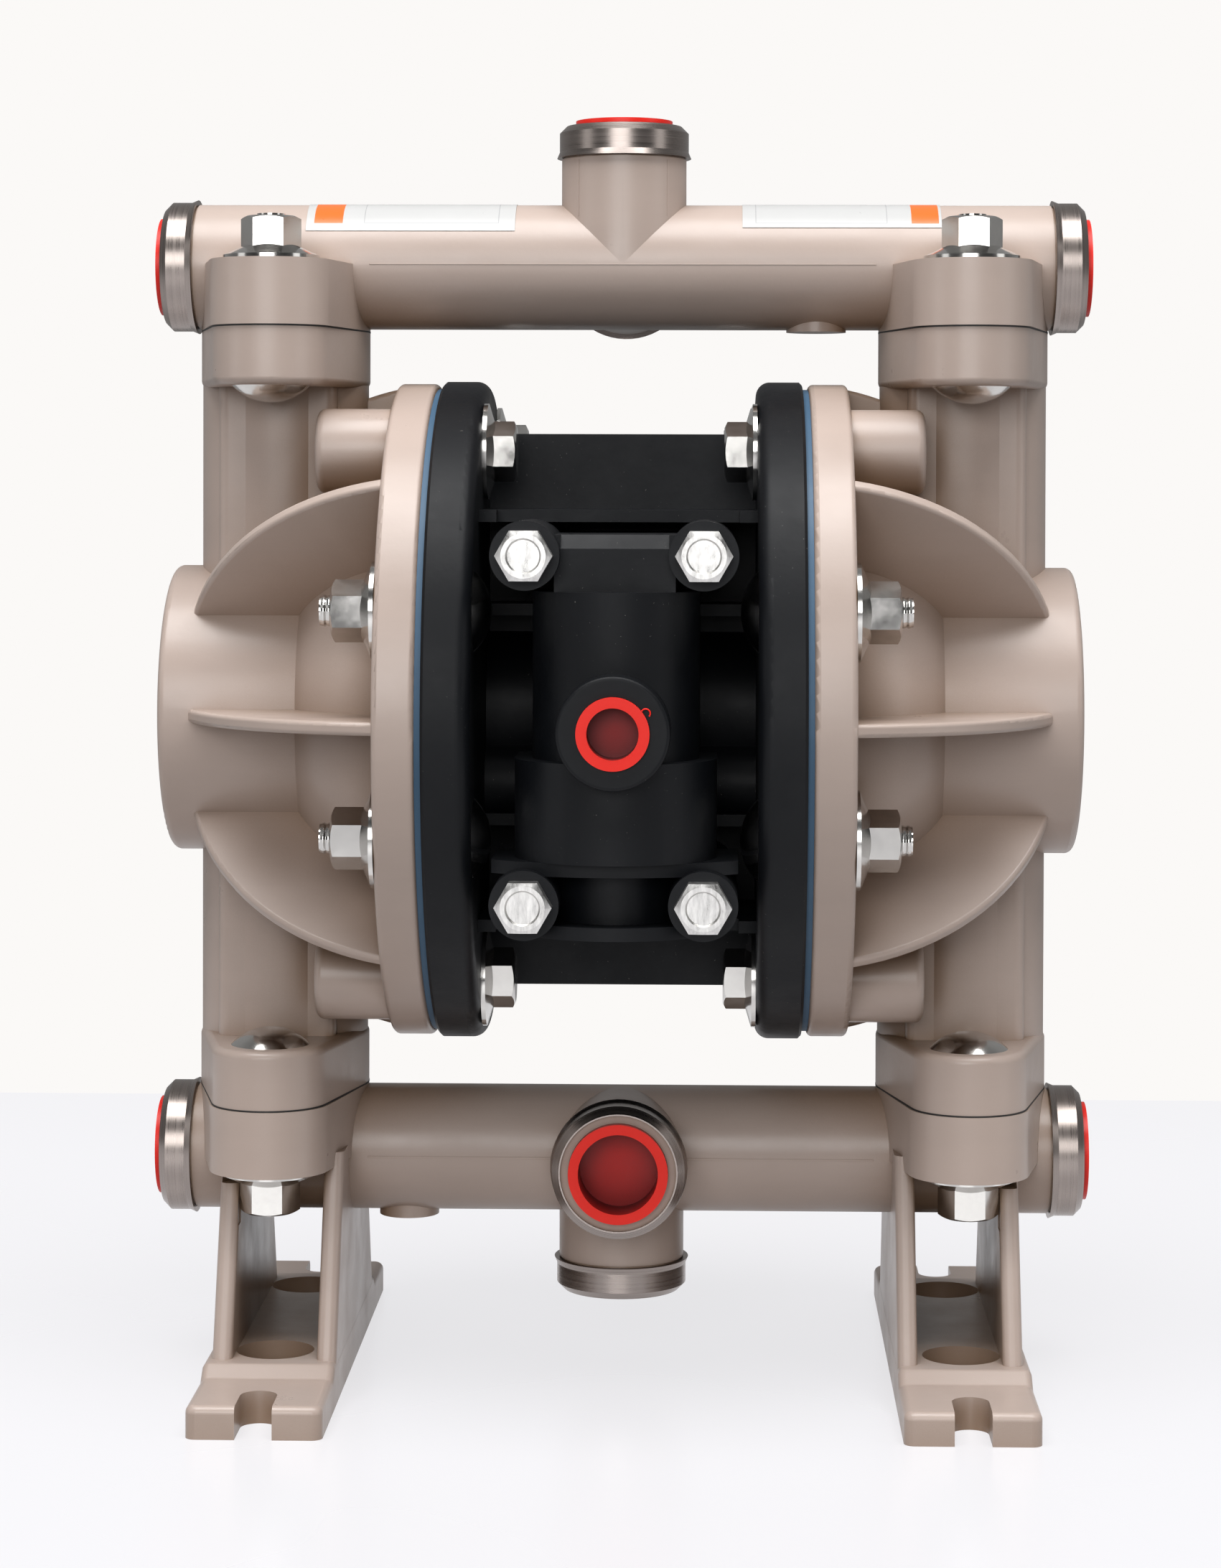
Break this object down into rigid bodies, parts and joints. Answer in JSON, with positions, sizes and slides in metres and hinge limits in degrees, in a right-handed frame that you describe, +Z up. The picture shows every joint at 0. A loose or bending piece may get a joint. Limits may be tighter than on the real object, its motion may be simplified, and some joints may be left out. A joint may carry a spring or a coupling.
{
  "type": "air operated diaphragm pump",
  "caption": "Plastic air operated double diaphragm pump: two fluid caps, upper and lower manifolds on feet, and a black air valve body between them.",
  "frame": {"origin": "on the floor, at the centre of the four hold-down holes in the feet", "axes": "+X to the right-hand port ends seen from the air inlet side, -Y to the air inlet side, +Z up"},
  "size_m": [0.2026, 0.1526, 0.2716],
  "materials": {
    "fluid_plastic": "satin",
    "body_plastic": "satin",
    "seal_rubber": "matte",
    "band_steel": "polished",
    "fastener_steel": "satin",
    "rod_steel": "ground",
    "diaphragm_rubber": "matte",
    "ball_plastic": "gloss",
    "seat_plastic": "satin",
    "bushing_plastic": "satin",
    "sleeve_brass": "satin",
    "plate_aluminium": "satin",
    "plug_plastic": "gloss"
  },
  "bodies": {
    "pump": {"outlet_manifold": "fluid_plastic", "inlet_manifold": "fluid_plastic", "left_fluid_cap": "fluid_plastic", "right_fluid_cap": "fluid_plastic", "center_body": "body_plastic", "valve_block": "body_plastic", "valve_gasket": "seal_rubber", "valve_sleeve": "sleeve_brass", "valve_end_cap": "body_plastic", "valve_block_bolts": "fastener_steel", "rod_bushings": "bushing_plastic", "pilot_bushings": "bushing_plastic", "left_diaphragm": "diaphragm_rubber", "right_diaphragm": "diaphragm_rubber", "left_rim_bolts": "fastener_steel", "right_rim_bolts": "fastener_steel", "left_rim_nuts": "fastener_steel", "right_rim_nuts": "fastener_steel", "left_hex_bolts": "fastener_steel", "right_hex_bolts": "fastener_steel", "outlet_joint_bolts": "fastener_steel", "inlet_joint_bolts": "fastener_steel", "outlet_joint_nuts": "fastener_steel", "inlet_joint_nuts": "fastener_steel", "outlet_joint_rings": "seal_rubber", "inlet_joint_rings": "seal_rubber", "outlet_seats": "seat_plastic", "inlet_seats": "seat_plastic", "outlet_port_bands": "band_steel", "inlet_port_bands": "band_steel"},
    "rod_assembly": {"diaphragm_rod": "rod_steel", "left_air_plate": "plate_aluminium", "right_air_plate": "plate_aluminium", "left_fluid_plate": "fluid_plastic", "right_fluid_plate": "fluid_plastic", "left_diaphragm_screw": "rod_steel", "right_diaphragm_screw": "rod_steel"},
    "pilot_rod": {"pilot_rod": "rod_steel"},
    "valve_spool": {"valve_spool": "plate_aluminium", "spool_rings": "seal_rubber"},
    "outlet_left_ball": {"outlet_left_ball": "ball_plastic"},
    "outlet_right_ball": {"outlet_right_ball": "ball_plastic"},
    "inlet_left_ball": {"inlet_left_ball": "ball_plastic"},
    "inlet_right_ball": {"inlet_right_ball": "ball_plastic"},
    "outlet_top_plug": {"outlet_top_plug": "plug_plastic"},
    "outlet_left_plug": {"outlet_left_plug": "plug_plastic"},
    "outlet_right_plug": {"outlet_right_plug": "plug_plastic"},
    "inlet_front_plug": {"inlet_front_plug": "plug_plastic"},
    "inlet_left_plug": {"inlet_left_plug": "plug_plastic"},
    "inlet_right_plug": {"inlet_right_plug": "plug_plastic"},
    "air_inlet_plug": {"air_inlet_plug": "plug_plastic"}
  },
  "joints": [
    {"name": "rod_slide", "type": "slide", "parent": "pump", "child": "rod_assembly", "axis": [1, 0, 0], "range_m": [-0.007, 0.007], "deforming": ["left_diaphragm", "right_diaphragm"]},
    {"name": "pilot_slide", "type": "slide", "parent": "pump", "child": "pilot_rod", "axis": [1, 0, 0], "range_m": [-0.003, 0.003]},
    {"name": "spool_slide", "type": "slide", "parent": "pump", "child": "valve_spool", "axis": [0, 0, 1], "range_m": [-0.005, 0.005]},
    {"name": "outlet_left_ball_lift", "type": "slide", "parent": "pump", "child": "outlet_left_ball", "axis": [0, 0, 1], "range_m": [0, 0.0045]},
    {"name": "outlet_right_ball_lift", "type": "slide", "parent": "pump", "child": "outlet_right_ball", "axis": [0, 0, 1], "range_m": [0, 0.0045]},
    {"name": "inlet_left_ball_lift", "type": "slide", "parent": "pump", "child": "inlet_left_ball", "axis": [0, 0, 1], "range_m": [0, 0.0045]},
    {"name": "inlet_right_ball_lift", "type": "slide", "parent": "pump", "child": "inlet_right_ball", "axis": [0, 0, 1], "range_m": [0, 0.0045]},
    {"name": "outlet_top_plug_pull", "type": "slide", "parent": "pump", "child": "outlet_top_plug", "axis": [0, 0, 1], "range_m": [0, 0.03]},
    {"name": "outlet_left_plug_pull", "type": "slide", "parent": "pump", "child": "outlet_left_plug", "axis": [-1, 0, 0], "range_m": [0, 0.03]},
    {"name": "outlet_right_plug_pull", "type": "slide", "parent": "pump", "child": "outlet_right_plug", "axis": [1, 0, 0], "range_m": [0, 0.03]},
    {"name": "inlet_front_plug_pull", "type": "slide", "parent": "pump", "child": "inlet_front_plug", "axis": [0, -1, 0], "range_m": [0, 0.03]},
    {"name": "inlet_left_plug_pull", "type": "slide", "parent": "pump", "child": "inlet_left_plug", "axis": [-1, 0, 0], "range_m": [0, 0.03]},
    {"name": "inlet_right_plug_pull", "type": "slide", "parent": "pump", "child": "inlet_right_plug", "axis": [1, 0, 0], "range_m": [0, 0.03]},
    {"name": "air_inlet_plug_pull", "type": "slide", "parent": "pump", "child": "air_inlet_plug", "axis": [0, -1, 0], "range_m": [0, 0.03]}
  ],
  "couplings": [
    {"joint": "pilot_slide", "follows": "rod_slide", "ratio": 0.375}
  ]
}
